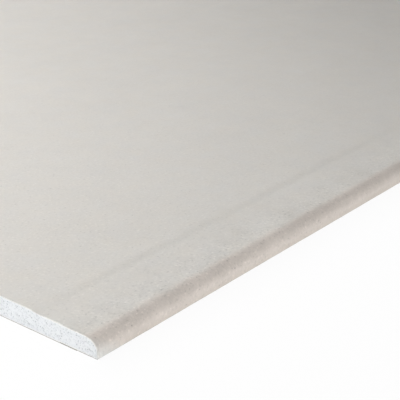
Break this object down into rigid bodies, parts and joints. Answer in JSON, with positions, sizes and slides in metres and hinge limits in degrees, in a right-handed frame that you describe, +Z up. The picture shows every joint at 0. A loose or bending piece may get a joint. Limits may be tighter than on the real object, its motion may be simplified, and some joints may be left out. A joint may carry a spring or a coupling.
{
  "type": "drywall sheet",
  "caption": "Flat rectangular drywall sheet: white gypsum core, paper wrapped over the face and half-round tapered long edges, grey back paper, square sawn ends.",
  "frame": {"origin": "centre of the sheet's underside, on the floor that it lies on", "axes": "+X along the length, +Y across the width, +Z up out of the face; the sheet lies on its back"},
  "size_m": [2.5, 1.2, 0.0125],
  "materials": {
    "gypsum": "matte",
    "face_paper": "matte",
    "back_paper": "matte"
  },
  "bodies": {
    "root": {"gypsum_core": "gypsum", "face_paper": "face_paper", "back_paper": "back_paper"}
  },
  "joints": []
}
